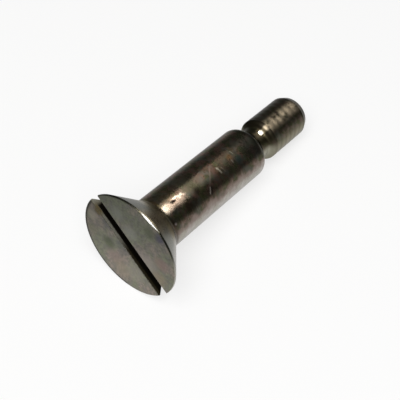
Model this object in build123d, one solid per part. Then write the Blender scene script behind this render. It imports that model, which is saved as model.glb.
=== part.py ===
from build123d import *
import math
import os

# A one-piece turned shoulder screw: a flat countersunk head with a driver slot, a plain
# shoulder, a relief neck and a short threaded end. Lengths are in millimetres and angles
# in degrees. The screw lies on its side, as it comes to rest on a table: the rim of the
# head and the crest of the thread touch the table, and the axis dips towards the tip.

# Head
head_diameter = 12.7
countersink_angle = 80.0
face_edge_radius = 0.12
rim_height = 0.1
under_head_radius = 0.6

# A flat bruise on the rim, where the head was struck: its depth and its place round the axis
bruise_depth = 0.23
bruise_roll = 24.0

# Driver slot, cut straight across the face
slot_width = 1.6
slot_depth = 1.6
slot_roll = -52.0

# Shoulder, measured from the small end of the cone
shoulder_diameter = 6.35
shoulder_length = 16.3
shoulder_end_angle = 45.0
shoulder_end_radius = 1.0

# Relief neck between the shoulder and the thread
neck_diameter = 4.0
neck_width = 1.4
neck_corner_radius = 0.6

# Threaded end, at the diameter of the thread's crests
thread_diameter = 5.3
thread_length = 6.2
thread_start_angle = 60.0
tip_diameter = 4.4
tip_length = 1.0
tip_edge_radius = 0.4

# The seam of the turned surfaces lies just beside the line that touches the table
seam_roll = -87.5

# Radii and stations of the turned profile, along the axis from the flat face
head_radius = head_diameter / 2
shoulder_radius = shoulder_diameter / 2
neck_radius = neck_diameter / 2
thread_radius = thread_diameter / 2
tip_radius = tip_diameter / 2


def run_of(rise, angle):
    """Length along the axis of a slope that changes the radius by rise."""
    return rise / math.tan(math.radians(angle))


rim_end = face_edge_radius + rim_height
cone_end = rim_end + run_of(head_radius - shoulder_radius, countersink_angle / 2)
shoulder_end = cone_end + shoulder_length
neck_start = shoulder_end + run_of(shoulder_radius - neck_radius, shoulder_end_angle)
neck_end = neck_start + neck_width
thread_start = neck_end + run_of(thread_radius - neck_radius, thread_start_angle)
thread_end = thread_start + thread_length
tip_end = thread_end + tip_length


def rounded(face, station, radius, size):
    """Round the profile's corner at a station and a radius."""
    corner = face.vertices().sort_by_distance((station, radius, 0))[0]
    return fillet(corner, size)


def turned_profile():
    """Half of the screw's outline, above the axis, which is X."""
    outline = Polyline(
        (0, 0),
        (0, head_radius),
        (rim_end, head_radius),
        (cone_end, shoulder_radius),
        (shoulder_end, shoulder_radius),
        (neck_start, neck_radius),
        (neck_end, neck_radius),
        (thread_start, thread_radius),
        (thread_end, thread_radius),
        (tip_end, tip_radius),
        (tip_end, 0),
        close=True,
    )
    face = make_face(outline)
    face = rounded(face, 0, head_radius, face_edge_radius)
    face = rounded(face, cone_end, shoulder_radius, under_head_radius)
    face = rounded(face, shoulder_end, shoulder_radius, shoulder_end_radius)
    face = rounded(face, neck_start, neck_radius, neck_corner_radius)
    face = rounded(face, neck_end, neck_radius, neck_corner_radius)
    return rounded(face, tip_end, tip_radius, tip_edge_radius)


def driver_slot():
    """The slot's tool, open at both ends, rolled about the axis from upright."""
    length = 2 * head_diameter
    cutter = Box(2 * slot_depth, slot_width, length)
    return Rot(slot_roll, 0, 0) * cutter


def rim_bruise():
    """The bruise's tool: a block that takes a flat off the top of the rim, rolled into place."""
    block = Box(head_diameter, head_diameter, 2 * bruise_depth)
    return Rot(bruise_roll, 0, 0) * Pos(0, 0, head_radius) * block


def rest_tilt():
    """Dip of the axis when the rim and the next crest along the screw touch the table."""
    shoulder_slope = (head_radius - shoulder_radius) / (shoulder_end - rim_end)
    thread_slope = (head_radius - thread_radius) / (thread_end - rim_end)
    return math.degrees(math.atan(min(shoulder_slope, thread_slope)))


def at_rest(screw):
    """Lay the screw down and put the middle of its footprint at the origin."""
    lying = Rot(0, rest_tilt(), 0) * screw
    box = lying.bounding_box()
    return Pos(-box.center().X, -box.center().Y, -box.min.Z) * lying


turned = Rot(seam_roll, 0, 0) * revolve(turned_profile(), axis=Axis.X)
screw = turned - driver_slot() - rim_bruise()
screw = at_rest(screw)

os.makedirs("parts", exist_ok=True)
export_step(screw, "parts/screw.step")
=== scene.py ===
import math

import bmesh
import bpy
import numpy as np
from mathutils import Matrix, Vector


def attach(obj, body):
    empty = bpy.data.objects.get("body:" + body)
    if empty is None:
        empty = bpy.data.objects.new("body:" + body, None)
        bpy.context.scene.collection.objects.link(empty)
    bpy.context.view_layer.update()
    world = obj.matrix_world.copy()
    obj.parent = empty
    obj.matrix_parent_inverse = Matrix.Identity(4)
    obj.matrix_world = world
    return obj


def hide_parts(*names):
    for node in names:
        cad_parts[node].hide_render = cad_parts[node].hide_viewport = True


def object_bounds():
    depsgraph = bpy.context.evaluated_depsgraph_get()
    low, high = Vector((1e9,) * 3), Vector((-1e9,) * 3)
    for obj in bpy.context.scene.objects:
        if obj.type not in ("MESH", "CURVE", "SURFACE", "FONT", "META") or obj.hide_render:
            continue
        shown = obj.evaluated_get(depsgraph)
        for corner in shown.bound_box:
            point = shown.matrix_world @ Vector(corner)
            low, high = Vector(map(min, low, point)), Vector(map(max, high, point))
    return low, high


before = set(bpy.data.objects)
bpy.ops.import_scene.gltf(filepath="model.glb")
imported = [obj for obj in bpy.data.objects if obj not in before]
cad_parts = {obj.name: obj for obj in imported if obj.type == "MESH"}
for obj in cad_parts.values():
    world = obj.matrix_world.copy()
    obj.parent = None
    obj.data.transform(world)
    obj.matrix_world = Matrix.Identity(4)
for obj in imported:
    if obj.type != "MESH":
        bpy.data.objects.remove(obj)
cad_low, cad_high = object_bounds()

# The screw's own frame: x runs along the axis from the flat face towards the tip, z is up
# across the axis and y is level. Angles go round the axis from z towards minus y, which is
# the side that the camera sees. Lengths here are millimetres, and a mesh is scaled to metres.
MM = 0.001

# Head
HEAD_RADIUS = 6.35
CONE_SLOPE = math.radians(40)
FACE_EDGE = 0.12
RIM_HEIGHT = 0.1
RIM_EDGE_RADIUS = 0.05
UNDER_HEAD_RADIUS = 0.6

# Driver slot
SLOT_WIDTH = 1.6
SLOT_DEPTH = 1.6
SLOT_ROLL = math.radians(-52)
SLOT_MOUTH_RADIUS = 0.06
SLOT_FLOOR_RADIUS = 0.12

# Shoulder, relief neck, thread and tip
SHOULDER_RADIUS = 3.175
SHOULDER_LENGTH = 16.3
SHOULDER_END_SLOPE = math.radians(45)
SHOULDER_END_RADIUS = 1.0
NECK_RADIUS = 2.0
NECK_WIDTH = 1.4
NECK_CORNER_RADIUS = 0.6
THREAD_RADIUS = 2.65
THREAD_LENGTH = 6.2
THREAD_START_SLOPE = math.radians(60)
THREAD_START_RADIUS = 0.45
THREAD_END_RADIUS = 0.3
THREAD_PITCH = 0.95
THREAD_DEPTH = 0.013
TIP_RADIUS = 2.2
TIP_LENGTH = 1.0
TIP_EDGE_RADIUS = 0.4

# A flat bruise on the rim: its distance from the axis, and the way that it faces
BRUISE_REACH = 6.18
BRUISE_ANGLE = math.radians(24.5)

# A pit in the shoulder beside the head
PIT_STATION = 5.97
PIT_ANGLE = math.radians(17)
PIT_RADIUS = 0.23
PIT_DEPTH = 0.1

# A small glinting flat in the corner where the neck meets the thread
GLINT_REACH = NECK_RADIUS + 0.035
GLINT_STATION = 22.62
GLINT_ANGLE = math.radians(15)
GLINT_SLOPE = math.radians(8)
GLINT_RADIUS = 0.42

# Points of the mesh round the axis
COLUMNS = 256

rim_end = FACE_EDGE + RIM_HEIGHT
cone_end = rim_end + (HEAD_RADIUS - SHOULDER_RADIUS) / math.tan(CONE_SLOPE)
shoulder_end = cone_end + SHOULDER_LENGTH
neck_start = shoulder_end + (SHOULDER_RADIUS - NECK_RADIUS) / math.tan(SHOULDER_END_SLOPE)
neck_end = neck_start + NECK_WIDTH
thread_start = neck_end + (THREAD_RADIUS - NECK_RADIUS) / math.tan(THREAD_START_SLOPE)
thread_end = thread_start + THREAD_LENGTH
tip_end = thread_end + TIP_LENGTH
tilt = math.atan(
    min(
        (HEAD_RADIUS - SHOULDER_RADIUS) / (shoulder_end - rim_end),
        (HEAD_RADIUS - THREAD_RADIUS) / (thread_end - rim_end),
    )
)


# Turned outline

def rounded_corner(before, corner, after, radius, steps=8):
    """Points of the arc that rounds a corner between two straight runs."""
    before, corner, after = (np.array(p, float) for p in (before, corner, after))
    back = (before - corner) / np.linalg.norm(before - corner)
    ahead = (after - corner) / np.linalg.norm(after - corner)
    half = math.acos(np.clip(back @ ahead, -1, 1)) / 2
    reach = radius / math.tan(half)
    middle = back + ahead
    centre = corner + middle / np.linalg.norm(middle) * radius / math.sin(half)
    start = corner + back * reach - centre
    end = corner + ahead * reach - centre
    turn = math.pi - 2 * half
    weights = np.linspace(0, 1, steps + 1)
    return [
        centre + (math.sin((1 - w) * turn) * start + math.sin(w * turn) * end) / math.sin(turn)
        for w in weights
    ]


def spaced(points, longest):
    """The same outline with every run cut to at most the length that its place asks for."""
    out = [points[0]]
    for a, b in zip(points[:-1], points[1:]):
        run = np.linalg.norm(b - a)
        count = max(1, math.ceil(run / longest((a + b) / 2)))
        out += [a + (b - a) * i / count for i in range(1, count + 1)]
    return np.array(out)


def longest_run(at):
    """How far apart stations may be, at a point of the outline."""
    station, radius = at
    if station < 1e-6 or station > tip_end - 1e-6:
        return 0.4
    if station < 0.8 or abs(station - PIT_STATION) < 2 * PIT_RADIUS:
        return 0.05
    if station < cone_end + 4:
        return 0.15
    if station < shoulder_end:
        return 0.25
    if station < thread_start - 0.4:
        return 0.06
    return 0.055


def turned_outline():
    """Stations and radii from the middle of the face round to the middle of the tip."""
    corners = [
        ((0, 0), 0),
        ((0, HEAD_RADIUS), FACE_EDGE),
        ((rim_end, HEAD_RADIUS), RIM_EDGE_RADIUS),
        ((cone_end, SHOULDER_RADIUS), UNDER_HEAD_RADIUS),
        ((shoulder_end, SHOULDER_RADIUS), SHOULDER_END_RADIUS),
        ((neck_start, NECK_RADIUS), NECK_CORNER_RADIUS),
        ((neck_end, NECK_RADIUS), NECK_CORNER_RADIUS),
        ((thread_start, THREAD_RADIUS), THREAD_START_RADIUS),
        ((thread_end, THREAD_RADIUS), THREAD_END_RADIUS),
        ((tip_end, TIP_RADIUS), TIP_EDGE_RADIUS),
        ((tip_end, 0), 0),
    ]
    points = [np.array(corners[0][0], float)]
    for i in range(1, len(corners) - 1):
        place, radius = corners[i]
        points += rounded_corner(corners[i - 1][0], place, corners[i + 1][0], radius)
    points.append(np.array(corners[-1][0], float))
    return spaced(points, longest_run)


# Lathed body with its thread and its damage

def smooth_step(x):
    x = np.clip(x, 0, 1)
    return x * x * (3 - 2 * x)


def thread_radii(station, angle):
    """Radius of the threaded surface: a right-hand ridge with a worn, rounded crest."""
    turns = (station - thread_end) / THREAD_PITCH + angle / (2 * math.pi)
    from_crest = np.abs(2 * (turns - np.floor(turns)) - 1)
    groove = smooth_step((from_crest - 0.1) / 0.9)
    return THREAD_RADIUS - THREAD_DEPTH * groove


def pit_depth(station, angle):
    """How far the pit sinks the surface."""
    away = np.hypot(station - PIT_STATION, (angle - PIT_ANGLE) * SHOULDER_RADIUS)
    return PIT_DEPTH * (1 - smooth_step(away / PIT_RADIUS))


def glint(station, angle, radius):
    """The radius, flattened towards a plane within the glint."""
    plane = GLINT_REACH + (station - GLINT_STATION) * math.tan(GLINT_SLOPE)
    plane = plane / np.maximum(np.cos(angle - GLINT_ANGLE), 0.5)
    away = np.hypot(station - GLINT_STATION, (angle - GLINT_ANGLE) * GLINT_REACH)
    share = 1 - smooth_step((away - 0.65 * GLINT_RADIUS) / (0.35 * GLINT_RADIUS))
    return radius + (plane - radius) * share


def lathed_mesh():
    """The whole turned body, closed, with its thread, pit and glint but no slot."""
    outline = turned_outline()
    stations = outline[1:-1, 0][:, None]
    radii = outline[1:-1, 1][:, None]
    angles = (np.arange(COLUMNS) * 2 * math.pi / COLUMNS)[None, :]
    x = np.repeat(stations, COLUMNS, axis=1)
    r = np.repeat(radii, COLUMNS, axis=1)
    threaded = (stations > neck_end + 0.02) & (stations < tip_end - 0.02)
    r = np.where(threaded, np.minimum(r, thread_radii(x, angles)), r)
    r = np.where(np.abs(x - PIT_STATION) < 1, r - pit_depth(x, angles), r)
    r = glint(x, angles, r)
    y = -np.sin(angles) * r
    z = np.cos(angles) * r
    rows = len(stations)
    verts = np.stack([x, y, z], axis=-1).reshape(-1, 3)
    verts = np.vstack([verts, [[0, 0, 0], [tip_end, 0, 0]]])
    faces = []
    for i in range(rows - 1):
        for j in range(COLUMNS):
            k = (j + 1) % COLUMNS
            near, far = i * COLUMNS, (i + 1) * COLUMNS
            faces.append((near + j, near + k, far + k, far + j))
    face_middle = rows * COLUMNS
    last = (rows - 1) * COLUMNS
    for j in range(COLUMNS):
        k = (j + 1) % COLUMNS
        faces.append((face_middle, k, j))
        faces.append((face_middle + 1, last + j, last + k))
    mesh = bpy.data.meshes.new("turned")
    mesh.from_pydata([tuple(v) for v in verts], [], faces)
    return mesh


def slot_cutter():
    """A bar with the slot's section: a rounded mouth, straight walls and rounded floor corners."""
    half = SLOT_WIDTH / 2
    above = 1.0
    turns = [math.pi / 2 * i / 6 for i in range(7)]
    section = [(-above, half + above)]
    for turn in turns:
        depth = SLOT_MOUTH_RADIUS * (1 - math.cos(turn))
        section.append((depth, half + SLOT_MOUTH_RADIUS * (1 - math.sin(turn))))
    for turn in turns:
        depth = SLOT_DEPTH - SLOT_FLOOR_RADIUS * (1 - math.sin(turn))
        section.append((depth, half - SLOT_FLOOR_RADIUS * (1 - math.cos(turn))))
    section += [(x, -y) for x, y in reversed(section)]
    reach = HEAD_RADIUS + 2
    verts = [(x, y, s * reach) for s in (-1, 1) for x, y in section]
    n = len(section)
    faces = [(i, (i + 1) % n, n + (i + 1) % n, n + i) for i in range(n)]
    faces += [tuple(range(n))[::-1], tuple(range(n, 2 * n))]
    mesh = bpy.data.meshes.new("cutter")
    mesh.from_pydata(verts, [], faces)
    mesh.transform(Matrix.Rotation(SLOT_ROLL, 4, "X"))
    return mesh


def bruise_cutter():
    """A block whose underside is the plane of the bruise."""
    low, high = Vector((-1, -3, BRUISE_REACH)), Vector((1.5, 3, BRUISE_REACH + 2))
    verts = [(x, y, z) for x in (low.x, high.x) for y in (low.y, high.y) for z in (low.z, high.z)]
    faces = [(0, 1, 3, 2), (4, 6, 7, 5), (0, 4, 5, 1), (2, 3, 7, 6), (0, 2, 6, 4), (1, 5, 7, 3)]
    mesh = bpy.data.meshes.new("bruise")
    mesh.from_pydata(verts, [], faces)
    mesh.transform(Matrix.Rotation(BRUISE_ANGLE, 4, "X"))
    return mesh


def cut(mesh, *cutter_meshes):
    """The mesh with each cutter's space taken out of it."""
    body = bpy.data.objects.new("body", mesh)
    cutters = [bpy.data.objects.new("cutter", cutter) for cutter in cutter_meshes]
    for o in (body, *cutters):
        bpy.context.scene.collection.objects.link(o)
        tidy = bmesh.new()
        tidy.from_mesh(o.data)
        bmesh.ops.recalc_face_normals(tidy, faces=tidy.faces)
        tidy.to_mesh(o.data)
        tidy.free()
    for cutter in cutters:
        difference = body.modifiers.new("cut", "BOOLEAN")
        difference.operation = "DIFFERENCE"
        difference.solver = "EXACT"
        difference.object = cutter
    done = bpy.data.meshes.new_from_object(
        body.evaluated_get(bpy.context.evaluated_depsgraph_get())
    )
    for o in (body, *cutters):
        bpy.data.objects.remove(o)
    return done


def shade(mesh):
    """Smooth all over, apart from hard edges and the flats of the face, tip and bruise."""
    mesh.shade_smooth()
    mesh.set_sharp_from_angle(angle=math.radians(32))
    bruise = Matrix.Rotation(BRUISE_ANGLE, 3, "X") @ Vector((0, 0, 1))
    flats = (Vector((-1, 0, 0)), Vector((1, 0, 0)), bruise)
    for polygon in mesh.polygons:
        if any(polygon.normal.dot(flat) > 0.99999 for flat in flats):
            polygon.use_smooth = False


def make_screw():
    """The finished mesh at its place, and the place of its flat face's middle."""
    mesh = cut(lathed_mesh(), slot_cutter(), bruise_cutter())
    shade(mesh)
    mesh.transform(Matrix.Scale(MM, 4))
    mesh.transform(Matrix.Rotation(tilt, 4, "Y"))
    corners = np.empty(len(mesh.vertices) * 3)
    mesh.vertices.foreach_get("co", corners)
    corners = corners.reshape(-1, 3)
    low, high = corners.min(axis=0), corners.max(axis=0)
    centre = (cad_low + cad_high) / 2
    along = centre.x - (low[0] + high[0]) / 2
    move = Vector((along, centre.y, cad_low.z - low[2]))
    mesh.transform(Matrix.Translation(move))
    screw = bpy.data.objects.new("turned_screw", mesh)
    bpy.context.scene.collection.objects.link(screw)
    return screw, move


screw, face_middle = make_screw()
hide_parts("screw")
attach(screw, "root")


# Materials

class Nodes:
    """A material's node tree, with short calls for the nodes that it uses."""

    def __init__(self, name):
        self.material = bpy.data.materials.new(name)
        self.material.use_nodes = True
        self.tree = self.material.node_tree
        self.tree.nodes.clear()

    def add(self, kind, inputs=(), **settings):
        node = self.tree.nodes.new(kind)
        for key, value in settings.items():
            setattr(node, key, value)
        for key, value in dict(inputs).items():
            self.set(node, key, value)
        return node

    def set(self, node, key, value):
        if isinstance(value, bpy.types.NodeSocket):
            self.tree.links.new(value, node.inputs[key])
        else:
            node.inputs[key].default_value = value

    def math(self, operation, a, b=0.0, c=0.0, clamp=False):
        node = self.add("ShaderNodeMath", operation=operation, use_clamp=clamp)
        for i, value in enumerate((a, b, c)):
            self.set(node, i, value)
        return node.outputs[0]

    def plus(self, a, b):
        return self.math("ADD", a, b)

    def minus(self, a, b):
        return self.math("SUBTRACT", a, b)

    def away(self, value, centre):
        """How far a value lies from a centre, on either side."""
        return self.math("ABSOLUTE", self.minus(value, centre))

    def times(self, *factors):
        """The product of several masks."""
        product = factors[0]
        for factor in factors[1:]:
            product = self.math("MULTIPLY", product, factor)
        return product

    def ramp(self, value, low, high):
        """0 below low, 1 above high, and the other way round where low is the larger."""
        node = self.add("ShaderNodeMapRange", clamp=True)
        node.interpolation_type = "SMOOTHSTEP"
        turned_round = low > high
        self.set(node, "Value", value)
        self.set(node, "From Min", min(low, high))
        self.set(node, "From Max", max(low, high))
        self.set(node, "To Min", 1.0 if turned_round else 0.0)
        self.set(node, "To Max", 0.0 if turned_round else 1.0)
        return node.outputs[0]

    def turn_ramp(self, angle, low, high):
        """A ramp over an angle, its ends in degrees."""
        return self.ramp(angle, math.radians(low), math.radians(high))

    def noise(self, vector, scale, detail=3.0, rough=0.55):
        node = self.add("ShaderNodeTexNoise", noise_dimensions="3D")
        settings = {"Vector": vector, "Scale": scale, "Detail": detail, "Roughness": rough}
        for key, value in settings.items():
            self.set(node, key, value)
        return node.outputs["Fac"]

    def mix(self, factor, a, b, blend="MIX"):
        node = self.add("ShaderNodeMix", data_type="RGBA", blend_type=blend, clamp_factor=True)
        self.set(node, "Factor", factor)
        for name, value in (("A", a), ("B", b)):
            socket = [s for s in node.inputs if s.name == name and s.type == "RGBA"][0]
            if isinstance(value, bpy.types.NodeSocket):
                self.tree.links.new(value, socket)
            else:
                socket.default_value = value
        return [s for s in node.outputs if s.type == "RGBA"][0]


def tone(red, green, blue):
    """A colour given as it looks on a screen, 0 to 255, as the linear values of a shader."""
    def linear(v):
        v /= 255
        return v / 12.92 if v <= 0.04045 else ((v + 0.055) / 1.055) ** 2.4
    return (linear(red), linear(green), linear(blue), 1.0)


def own_frame(n):
    """The point being shaded, in millimetres in the screw's own frame."""
    where = n.add("ShaderNodeTexCoord").outputs["Object"]
    own = n.add("ShaderNodeMapping", vector_type="TEXTURE")
    n.set(own, "Vector", where)
    n.set(own, "Location", face_middle)
    n.set(own, "Rotation", (0, tilt, 0))
    n.set(own, "Scale", (MM, MM, MM))
    return own.outputs[0]


def on_turning(station, angle, radius=SHOULDER_RADIUS):
    """A place on the turned surface, its angle in degrees."""
    turn = math.radians(angle)
    return (station, -math.sin(turn) * radius, math.cos(turn) * radius)


GLINT_PLACE = on_turning(GLINT_STATION, math.degrees(GLINT_ANGLE), GLINT_REACH)


def spot(n, own, place, inner, outer):
    """1 within the inner distance of a place, 0 past the outer one."""
    away = n.add("ShaderNodeVectorMath", {0: own, 1: place}, operation="DISTANCE")
    return n.ramp(away.outputs["Value"], outer, inner)


def stroke(n, unrolled, start, end, width):
    """1 along a straight mark on the unrolled shoulder, between two (station, angle) places."""
    a = Vector((start[0], math.radians(start[1]) * SHOULDER_RADIUS, 0))
    b = Vector((end[0], math.radians(end[1]) * SHOULDER_RADIUS, 0))
    run = b - a
    along = n.add("ShaderNodeMapping", vector_type="TEXTURE")
    n.set(along, "Vector", unrolled)
    n.set(along, "Location", (a + b) / 2)
    n.set(along, "Rotation", (0, 0, math.atan2(run.y, run.x)))
    split = n.add("ShaderNodeSeparateXYZ", {"Vector": along.outputs[0]})
    side = n.math("ABSOLUTE", split.outputs["Y"])
    length = n.math("ABSOLUTE", split.outputs["X"])
    half = run.length / 2
    return n.times(n.ramp(side, width, 0.3 * width), n.ramp(length, half, 0.65 * half))


class Surface:
    """Coordinates and noises that the parts of the steel's finish share.

    The turned noise runs in rings round the screw, as tool marks do.
    """

    def __init__(self, n):
        self.own = own_frame(n)
        split = n.add("ShaderNodeSeparateXYZ", {"Vector": self.own})
        self.station, self.level, self.height = (split.outputs[axis] for axis in "XYZ")
        self.angle = n.math("ARCTAN2", n.times(self.level, -1.0), self.height)
        self.arc = n.times(self.angle, SHOULDER_RADIUS)
        self.unrolled = n.add("ShaderNodeCombineXYZ", {"X": self.station, "Y": self.arc}).outputs[0]
        self.off_top = n.math("ABSOLUTE", self.angle)
        square = n.plus(n.times(self.level, self.level), n.times(self.height, self.height))
        self.radius = n.math("SQRT", square)
        self.broad = n.noise(self.own, 0.33, 3.0, 0.55)
        self.blotch = n.noise(self.own, 0.8, 4.0, 0.6)
        self.fine = n.noise(self.own, 3.0, 4.0, 0.65)
        stretched = n.add("ShaderNodeMapping", {"Vector": self.own, "Scale": (9.0, 0.5, 0.5)})
        self.turned = n.noise(stretched.outputs[0], 1.0, 3.0, 0.6)


def shoulder_colour(n, at):
    """Dark olive and brown on top and paler beneath, the change with angle being painted
    reflection, with stains and scratches.
    """
    mottle = n.noise(at.own, 1.1, 2.0, 0.5)
    patina = n.noise(at.own, 1.7, 3.0, 0.6)
    dark = n.mix(n.ramp(mottle, 0.38, 0.6), tone(88, 92, 62), tone(120, 96, 84))
    dark = n.mix(n.times(n.ramp(at.blotch, 0.46, 0.62), 0.7), dark, tone(100, 104, 98))
    dark = n.mix(n.times(n.ramp(patina, 0.48, 0.62), 0.6), dark, tone(62, 60, 46))
    bare_and_painted_sheen = n.mix(n.ramp(at.blotch, 0.4, 0.62), tone(160, 156, 146), tone(176, 170, 164))
    # Painted reflection: by angle from the top the steel is painted darker part way down and paler
    # beneath, standing in for the dim room and the pale floor that it mirrors; the paler tone is
    # partly bare steel.
    wander = n.times(n.minus(mottle, 0.5), 0.5)
    from_top = n.plus(n.away(at.angle, math.radians(-5)), wander)
    colour = n.mix(n.times(n.turn_ramp(from_top, 44, 58), 0.6), dark, tone(60, 54, 44))
    colour = n.mix(n.turn_ramp(from_top, 66, 80), colour, tone(126, 112, 104))
    colour = n.mix(n.turn_ramp(from_top, 76, 98), colour, bare_and_painted_sheen)
    colour = n.mix(n.times(n.ramp(at.turned, 0.52, 0.75), 0.35), colour, tone(150, 142, 128))

    for station, angle, inner, outer, strength, stain in (
        (14.8, 22.0, 0.6, 2.2, 0.4, tone(84, 88, 70)),
        (15.6, 18.5, 0.1, 0.6, 0.5, tone(142, 106, 66)),
        (10.2, 15.5, 0.3, 1.3, 0.35, tone(132, 126, 114)),
        (16.4, 35.0, 0.2, 0.9, 0.6, tone(66, 92, 90)),
        (9.1, 29.0, 0.15, 0.7, 0.8, tone(40, 38, 30)),
        (8.6, 0.0, 0.6, 2.0, 0.5, tone(124, 118, 102)),
        (5.8, -1.0, 0.4, 1.8, 0.4, tone(122, 112, 84)),
        (7.4, 48.0, 0.3, 1.2, 0.6, tone(52, 46, 32)),
        (12.8, 28.0, 0.3, 1.2, 0.4, tone(104, 74, 66)),
        # Painted shade: this dark spot dims the lamp's highlight on the upper side.
        (9.3, 7.0, 0.4, 1.7, 0.5, tone(66, 62, 50)),
        (18.6, 10.0, 0.5, 2.2, 0.5, tone(64, 66, 54)),
        (19.3, 26.0, 0.8, 2.4, 0.6, tone(58, 60, 58)),
    ):
        mask = spot(n, at.own, on_turning(station, angle), inner, outer)
        colour = n.mix(n.times(mask, strength), colour, stain)

    for start, end, width, strength, mark in (
        ((12.7, 7), (10.9, 40), 0.12, 0.6, tone(148, 130, 122)),
        ((10.95, 39), (10.4, 54), 0.13, 0.9, tone(206, 196, 186)),
        ((11.15, 39), (10.6, 58), 0.12, 0.8, tone(40, 34, 30)),
        ((13.2, 17), (13.35, 36), 0.17, 0.85, tone(200, 194, 178)),
        ((13.75, 22), (13.9, 38), 0.07, 0.5, tone(170, 164, 150)),
        ((15.5, 24), (15.6, 35), 0.08, 0.7, tone(180, 174, 160)),
        ((16.3, 8), (16.35, 19), 0.08, 0.6, tone(180, 174, 160)),
    ):
        mask = stroke(n, at.unrolled, start, end, width)
        colour = n.mix(n.times(mask, strength), colour, mark)
    return colour


def rubbed_patch_and_painted_highlight(n, at):
    """Masks of a ragged patch worn clean beside the head, where the lamp's highlight falls, and of
    its brighter parts, which are painted highlight.
    """
    ragged = n.noise(at.own, 1.7, 2.0, 0.5)
    drift = n.times(n.minus(ragged, 0.5), 1.2)
    drifted = {"X": n.plus(at.station, drift), "Y": n.plus(at.arc, drift)}
    place = n.add("ShaderNodeCombineXYZ", drifted).outputs[0]
    clear = n.ramp(at.station, cone_end - 0.05, cone_end + 0.15)
    whole = stroke(n, place, (3.4, 22), (8.0, 21), 0.8)
    # Painted highlight: the wedge and the streak paint the lamp's highlight near white.
    wedge = n.times(stroke(n, place, (2.0, 20), (9.0, 18), 0.75), n.ramp(drifted["X"], 5.5, 4.2))
    painted_streak = n.times(stroke(n, place, (6.2, 16), (7.5, 13.5), 0.26), 0.7)
    painted_highlight = n.math("MAXIMUM", n.times(wedge, 0.85), painted_streak)
    return n.times(whole, clear), n.times(painted_highlight, clear)


def painted_bruise_glint(n, at):
    """Mask of the painted glint on the rim's flat bruise, a long narrow oval."""
    rolled = n.add("ShaderNodeMapping", vector_type="TEXTURE")
    n.set(rolled, "Vector", at.own)
    n.set(rolled, "Rotation", (BRUISE_ANGLE, 0, 0))
    split = n.add("ShaderNodeSeparateXYZ", {"Vector": rolled.outputs[0]})
    level, reach = split.outputs["Y"], split.outputs["Z"]
    half_length = 1.5
    half_width = n.plus(0.07, n.times(n.ramp(level, -half_length, 0.4), 0.09))
    across = n.math("DIVIDE", n.minus(at.station, 0.15), half_width)
    along = n.math("DIVIDE", level, half_length)
    from_middle = n.math("SQRT", n.plus(n.times(across, across), n.times(along, along)))
    on_flat = n.ramp(n.away(reach, BRUISE_REACH), 0.03, 0.01)
    return n.times(on_flat, n.ramp(from_middle, 1.0, 0.6))


def face_colour(n, at):
    """Dull grey with green, blue and brown clouds, lighter towards its low edge through painted
    shade that darkens it towards the top.
    """
    medium = n.noise(at.own, 1.4, 3.0, 0.6)
    colour = n.mix(n.ramp(at.broad, 0.42, 0.58), tone(132, 134, 114), tone(152, 140, 130))
    colour = n.mix(n.times(n.ramp(medium, 0.42, 0.6), 0.7), colour, tone(120, 117, 112))
    colour = n.mix(n.times(n.ramp(at.fine, 0.42, 0.64), 0.55), colour, tone(102, 102, 88))
    for level, height, inner, outer, strength, stain in (
        (4.3, 2.4, 0.2, 0.9, 0.9, tone(108, 92, 50)),
        (-4.0, 4.3, 0.2, 1.0, 0.8, tone(74, 74, 92)),
        (-4.5, 0.7, 0.4, 1.3, 0.6, tone(150, 126, 118)),
        (1.9, -3.0, 0.4, 1.6, 0.5, tone(146, 128, 120)),
        (2.8, -1.4, 0.3, 1.2, 0.7, tone(84, 90, 68)),
        (0.9, -0.6, 0.3, 1.3, 0.6, tone(100, 100, 98)),
        (3.1, 1.4, 0.3, 1.2, 0.6, tone(92, 96, 94)),
        (0.8, -4.2, 0.4, 1.8, 0.5, tone(146, 136, 116)),
        (-2.8, 4.3, 0.3, 1.3, 0.6, tone(92, 96, 74)),
        (-2.6, -0.6, 0.5, 2.0, 0.6, tone(160, 150, 142)),
        (-4.4, -1.6, 0.3, 1.4, 0.5, tone(150, 132, 112)),
        (5.2, -1.0, 0.3, 1.2, 0.5, tone(120, 122, 98)),
        (5.3, 1.2, 0.3, 1.1, 0.6, tone(170, 162, 146)),
        (-1.0, -3.4, 0.6, 1.9, 0.3, tone(168, 158, 148)),
        (1.7, 3.9, 0.3, 1.4, 0.6, tone(146, 146, 136)),
        (-0.2, 2.3, 0.3, 1.4, 0.6, tone(152, 152, 142)),
    ):
        mask = spot(n, at.own, (0, level, height), inner, outer)
        colour = n.mix(n.times(mask, strength), colour, stain)
    # Painted shade: the face is darkened towards its top.
    painted_shade_to_top = n.ramp(at.height, -5.5, 4.5)
    return n.mix(painted_shade_to_top, colour, tone(210, 212, 212), blend="MULTIPLY")


def slot_masks(n, at):
    """Masks of the slot's inside, its rounded lip, the strip by its mouth and the half where that
    strip is palest.
    """
    rolled = n.add("ShaderNodeMapping", vector_type="TEXTURE")
    n.set(rolled, "Vector", at.own)
    n.set(rolled, "Rotation", (SLOT_ROLL, 0, 0))
    split = n.add("ShaderNodeSeparateXYZ", {"Vector": rolled.outputs[0]})
    across, along = split.outputs["Y"], split.outputs["Z"]
    outside_wall = n.minus(n.math("ABSOLUTE", across), SLOT_WIDTH / 2)
    inside = n.times(
        n.ramp(outside_wall, 0.03, 0.005),
        n.ramp(at.station, 0.03, 0.1),
        n.ramp(at.station, SLOT_DEPTH + 0.05, SLOT_DEPTH + 0.02),
    )
    lip = n.times(
        n.ramp(outside_wall, SLOT_MOUTH_RADIUS, 0.7 * SLOT_MOUTH_RADIUS),
        n.ramp(at.station, 0.1, 0.06),
    )
    shallow = n.plus(at.station, n.times(n.minus(at.fine, 0.5), 0.12))
    near_mouth = n.math("MAXIMUM", n.ramp(shallow, 0.42, 0.28), n.ramp(along, 5.2, 5.7))
    mouth = n.times(near_mouth, n.ramp(across, 0.0, 0.2))
    return inside, lip, mouth, n.ramp(along, -0.6, 1.8)


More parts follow.
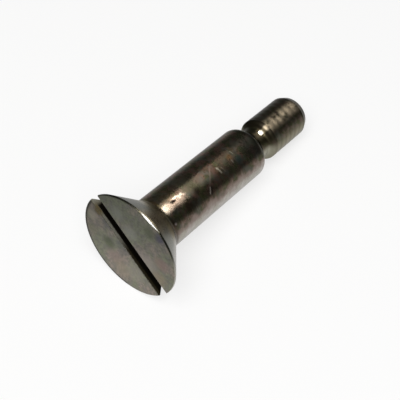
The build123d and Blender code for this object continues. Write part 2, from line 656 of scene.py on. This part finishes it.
def cone_colour(n, at):
    """Grey at the rim and browner towards the shoulder, with a painted highlight band, a paler
    underside of painted reflection, and a painted dark line round the rim.
    """
    cone = n.mix(n.ramp(at.station, 1.8, 3.4), tone(98, 98, 86), tone(140, 128, 94))
    # Painted highlight: a paler band where the lamp falls on the cone.
    lit = n.turn_ramp(n.away(at.angle, math.radians(25)), 20, 7)
    cone = n.mix(n.times(lit, 0.85), cone, tone(164, 152, 126))
    # Painted reflection: the cone is paler on its underside.
    cone = n.mix(n.times(n.turn_ramp(at.off_top, 58, 74), 0.8), cone, tone(176, 172, 164))
    # Painted shade: a dark line round the rim, darker away from the top.
    rim = n.times(n.ramp(at.station, 0.5, 0.26), n.ramp(at.radius, 6.1, 6.2))
    painted_rim_shade = n.plus(n.times(n.turn_ramp(at.off_top, 10, 24), 0.6), 0.25)
    painted_rim_shade = n.times(n.turn_ramp(at.angle, 84, 60), painted_rim_shade)
    return n.mix(n.times(rim, painted_rim_shade), cone, tone(50, 52, 42))


def thread_colour(n, at, upper, thread_corner, painted_glint_spot):
    """Olive and brown, with a painted highlight band along the upper side, painted paler reflection
    beneath, painted shade on the far side, near the neck and in the corner before the thread, a
    painted glint with its glow, and dark at its ends.
    """
    blotch = n.noise(at.own, 1.3, 3.0, 0.6)
    thread = n.mix(n.ramp(blotch, 0.36, 0.6), tone(68, 68, 46), tone(94, 82, 72))
    thread = n.mix(n.times(n.ramp(at.blotch, 0.46, 0.64), 0.6), thread, tone(78, 84, 72))
    # Painted reflection: the thread's underside is painted paler.
    low_side = n.turn_ramp(at.off_top, 62, 88)
    thread = n.mix(n.times(low_side, 0.7), thread, tone(142, 136, 114))
    groove = n.ramp(at.radius, THREAD_RADIUS - 0.2 * THREAD_DEPTH, THREAD_RADIUS - THREAD_DEPTH)
    thread = n.mix(n.times(groove, 0.3), thread, tone(66, 62, 44))

    # Painted highlight: a pale band along the upper side where the lamp falls, broken up by noise.
    aside = n.away(at.angle, math.radians(17))
    worn = n.noise(at.own, 1.2, 1.0, 0.5)
    painted_highlight_band = n.times(n.turn_ramp(aside, 27, 3), n.ramp(worn, 0.2, 0.55))
    thread = n.mix(n.times(painted_highlight_band, 0.9), thread, tone(222, 206, 178))
    # Painted shade: the far side is darkened.
    painted_far_shade = n.turn_ramp(at.angle, -18, -34)
    thread = n.mix(n.times(painted_far_shade, 0.5), thread, tone(40, 40, 26))

    # Painted light: the neck's underside next to the thread is painted paler.
    painted_low_neck_light = n.times(low_side, n.ramp(at.station, thread_start + 0.8, thread_start - 0.4))
    thread = n.mix(n.times(painted_low_neck_light, 0.8), thread, tone(160, 158, 142))
    # Painted shade: the neck's upper side is darkened.
    neck = n.ramp(at.radius, THREAD_RADIUS - 0.1, THREAD_RADIUS - 0.4)
    neck = n.times(neck, n.ramp(at.station, thread_start + 1.2, thread_start + 0.8), upper)
    thread = n.mix(n.times(neck, 0.8), thread, tone(66, 64, 44))
    # Painted highlight: a warm glow round the glint.
    painted_glow = spot(n, at.own, GLINT_PLACE, GLINT_RADIUS, 1.8 * GLINT_RADIUS)
    thread = n.mix(n.times(painted_glow, 0.5), thread, tone(150, 134, 100))
    # Painted shade: the corner before the thread is darkened on the upper side, off the highlight.
    painted_corner_shade = n.times(thread_corner, n.turn_ramp(aside, 4, 11), upper, 0.9)
    thread = n.mix(painted_corner_shade, thread, tone(34, 30, 22))
    # Painted highlight: the glint at the neck's flat is painted near white.
    thread = n.mix(painted_glint_spot, thread, tone(252, 248, 232))

    tip = n.times(n.ramp(at.station, thread_end - 0.4, thread_end + 0.2), upper)
    thread = n.mix(n.times(tip, 0.85), thread, tone(50, 46, 36))
    end_face = n.mix(n.ramp(blotch, 0.4, 0.6), tone(92, 90, 70), tone(116, 106, 94))
    return n.mix(n.ramp(at.station, tip_end - 0.2, tip_end - 0.03), thread, end_face)


def steel():
    n = Nodes("worn_steel")
    at = Surface(n)
    on_face = n.ramp(at.station, 0.05, 0.01)
    on_head = n.ramp(at.station, cone_end + 0.1, cone_end - 0.5)
    on_thread = n.ramp(at.station, neck_start - 0.3, neck_start + 0.4)
    upper = n.turn_ramp(at.off_top, 75, 45)
    thread_corner = n.ramp(n.away(at.station, thread_start), 0.55, 0.3)
    # Mask of the painted glint at the neck's flat.
    painted_glint_spot = spot(n, at.own, GLINT_PLACE, 0.45 * GLINT_RADIUS, 1.1 * GLINT_RADIUS)
    colour = n.mix(on_head, shoulder_colour(n, at), cone_colour(n, at))

    # Darker in the corner under the head, and painted shade on the upper side of the shoulder's
    # rounded end
    corner = n.times(n.ramp(at.station, 3.3, 3.9), n.ramp(at.station, 4.7, 4.2))
    corner_tone = n.mix(n.turn_ramp(at.angle, 26, 42), tone(112, 100, 64), tone(56, 50, 40))
    colour = n.mix(n.times(corner, 0.6), colour, corner_tone)
    # Painted shade: the shoulder's rounded end is darkened on its upper side, where it would catch
    # a line of light.
    end = n.times(n.ramp(at.station, 19.4, 20.4), n.ramp(at.station, neck_end, neck_start), upper)
    colour = n.mix(n.times(end, 0.75), colour, tone(50, 52, 40))

    # Thread, face, and a dark line at the face's edge on the far side
    colour = n.mix(on_thread, colour, thread_colour(n, at, upper, thread_corner, painted_glint_spot))
    colour = n.mix(on_face, colour, face_colour(n, at))
    edge = n.times(n.ramp(at.radius, 5.95, 6.15), n.ramp(at.station, 0.3, 0.2))
    edge = n.times(edge, n.turn_ramp(at.angle, -40, -60))
    colour = n.mix(n.times(edge, 0.8), colour, tone(44, 46, 38))

    # Patch worn clean beside the head, with painted highlight in its brighter parts, its pit, a
    # speck beside the head, and the bruise with its painted glint
    patch, painted_highlight = rubbed_patch_and_painted_highlight(n, at)
    colour = n.mix(n.times(patch, 0.9), colour, tone(182, 162, 146))
    # Painted highlight: the patch's brighter wedge and streak are painted near white.
    colour = n.mix(painted_highlight, colour, tone(236, 226, 206))
    pit_place = on_turning(PIT_STATION, math.degrees(PIT_ANGLE))
    pit = spot(n, at.own, pit_place, 0.14, PIT_RADIUS)
    colour = n.mix(pit, colour, tone(46, 26, 20))
    speck = spot(n, at.own, on_turning(cone_end + 0.5, 54), 0.08, 0.22)
    colour = n.mix(n.times(speck, 0.5), colour, tone(190, 180, 176))
    # Painted highlight: the bruise's flat is painted near white where the lamp glints in it.
    colour = n.mix(painted_bruise_glint(n, at), colour, tone(232, 236, 238))

    # Slot, near black inside with a paler strip at its mouth, palest on one half, and rust at the
    # high end of its mouth
    in_slot, lip, mouth, palest_half = slot_masks(n, at)
    colour = n.mix(n.times(lip, 0.7), colour, tone(70, 68, 56))
    slot_colour = n.mix(n.times(mouth, 0.6), tone(24, 21, 15), tone(70, 64, 46))
    slot_colour = n.mix(n.times(mouth, palest_half), slot_colour, tone(150, 148, 136))
    rust = n.times(spot(n, at.own, (0.1, 4.3, 2.6), 0.3, 1.1), mouth)
    slot_colour = n.mix(n.times(rust, 0.8), slot_colour, tone(108, 92, 50))
    colour = n.mix(in_slot, colour, slot_colour)

    rough = n.plus(0.22, n.times(at.blotch, 0.12))
    for mask, change in (
        (on_face, 0.16),
        (on_thread, 0.06),
        (thread_corner, 0.3),
        (in_slot, 0.4),
        (patch, -0.04),
        (painted_glint_spot, -0.16),
    ):
        rough = n.plus(rough, n.times(mask, change))

    grain = n.noise(at.own, 3.0, 1.0, 0.5)
    relief = n.plus(n.times(grain, 0.6), n.times(at.turned, 0.6))
    bump = n.add("ShaderNodeBump", {"Strength": 0.04, "Distance": 0.00004, "Height": relief})

    shader = n.add("ShaderNodeBsdfPrincipled")
    n.set(shader, "Base Color", colour)
    n.set(shader, "Metallic", 1.0)
    n.set(shader, "Specular Tint", (0.8, 0.8, 0.8, 1.0))
    n.set(shader, "Roughness", rough)
    n.set(shader, "Normal", bump.outputs[0])
    out = n.add("ShaderNodeOutputMaterial")
    n.set(out, "Surface", shader.outputs[0])
    return n.material


screw.data.materials.clear()
screw.data.materials.append(steel())


# Floor, lamps and camera

def floor_material():
    """A pale floor, partly plain white to the eye so that its shadow is soft.

    What the steel mirrors of it grows dim behind the screw, as paper does away from a lamp.
    """
    n = Nodes("pale_floor")
    matt = n.add("ShaderNodeBsdfDiffuse", {"Color": (0.93, 0.93, 0.925, 1)})
    white = n.add("ShaderNodeEmission", {"Color": (1.0, 1.0, 1.0, 1), "Strength": 1.0})
    dark = n.add("ShaderNodeEmission", {"Color": (1.0, 1.0, 1.0, 1), "Strength": 0.0})
    path = n.add("ShaderNodeLightPath")
    mirrored = path.outputs["Is Glossy Ray"]
    seen = n.math("MAXIMUM", path.outputs["Is Camera Ray"], mirrored)
    seen = n.math("MAXIMUM", seen, path.outputs["Is Transmission Ray"])
    share = n.times(seen, 0.68)
    both = n.add("ShaderNodeMixShader", {0: share, 1: matt.outputs[0], 2: white.outputs[0]})
    where = n.add("ShaderNodeTexCoord").outputs["Object"]
    behind = n.add("ShaderNodeSeparateXYZ", {"Vector": where}).outputs["Y"]
    just_behind = n.times(n.ramp(behind, 0.005, 0.014), 0.36)
    far_behind = n.times(n.ramp(behind, 0.015, 0.09), 0.34)
    dim = n.times(mirrored, n.plus(just_behind, far_behind))
    shown = n.add("ShaderNodeMixShader", {0: dim, 1: both.outputs[0], 2: dark.outputs[0]})
    out = n.add("ShaderNodeOutputMaterial")
    n.set(out, "Surface", shown.outputs[0])
    return n.material


def make_floor():
    half = 3.0
    mesh = bpy.data.meshes.new("floor")
    mesh.from_pydata(
        [(-half, -half, 0), (half, -half, 0), (half, half, 0), (-half, half, 0)], [], [(0, 1, 2, 3)]
    )
    floor = bpy.data.objects.new("floor", mesh)
    bpy.context.scene.collection.objects.link(floor)
    mesh.materials.append(floor_material())


def aim(obj, target):
    obj.rotation_mode = "QUATERNION"
    obj.rotation_quaternion = (target - obj.location).to_track_quat("-Z", "Y")


def soft_light(name, elevation, azimuth, distance, size, power, colour=(1, 1, 1)):
    """A soft oblong lamp, its size being width and height; its azimuth goes from +X to +Y."""
    target = Vector((0, 0, 0.005))
    data = bpy.data.lights.new(name, "AREA")
    data.shape = "RECTANGLE"
    data.size, data.size_y = size
    data.energy = power
    data.color = colour
    lamp = bpy.data.objects.new(name, data)
    e, a = math.radians(elevation), math.radians(azimuth)
    lamp.location = target + distance * Vector(
        (math.cos(e) * math.cos(a), math.cos(e) * math.sin(a), math.sin(e))
    )
    bpy.context.scene.collection.objects.link(lamp)
    aim(lamp, target)
    return lamp


def make_world(strength):
    world = bpy.data.worlds.new("dim_room")
    world.use_nodes = True
    background = world.node_tree.nodes["Background"]
    background.inputs["Color"].default_value = (1.0, 0.98, 0.95, 1)
    background.inputs["Strength"].default_value = strength
    bpy.context.scene.world = world


def make_camera():
    """The camera of the photograph, from a fit of the screw's outline."""
    data = bpy.data.cameras.new("camera")
    data.sensor_width = 36
    data.lens = 72.24
    data.clip_start, data.clip_end = 0.001, 10
    camera = bpy.data.objects.new("camera", data)
    right = Vector((0.63066455, -0.77605556, 0.0))
    up = Vector((0.60580113, 0.49230663, 0.62501133))
    back = Vector((-0.48504352, -0.39417249, 0.78061568))
    turn = Matrix((right, up, back)).transposed()
    camera.matrix_world = Matrix.Translation((-0.047968, -0.036587, 0.075117)) @ turn.to_4x4()
    bpy.context.scene.collection.objects.link(camera)
    bpy.context.scene.camera = camera


make_floor()
make_world(0.11)
soft_light("key", 62, -150, 0.5, (0.45, 0.45), 3.05)
# A narrow window, seen only as the highlight along the upper side
window = soft_light("window", 54, -8, 0.16, (0.13, 0.014), 0.034, (1.0, 0.95, 0.88))
window.visible_diffuse = False
make_camera()
bpy.context.scene.view_settings.view_transform = "Standard"
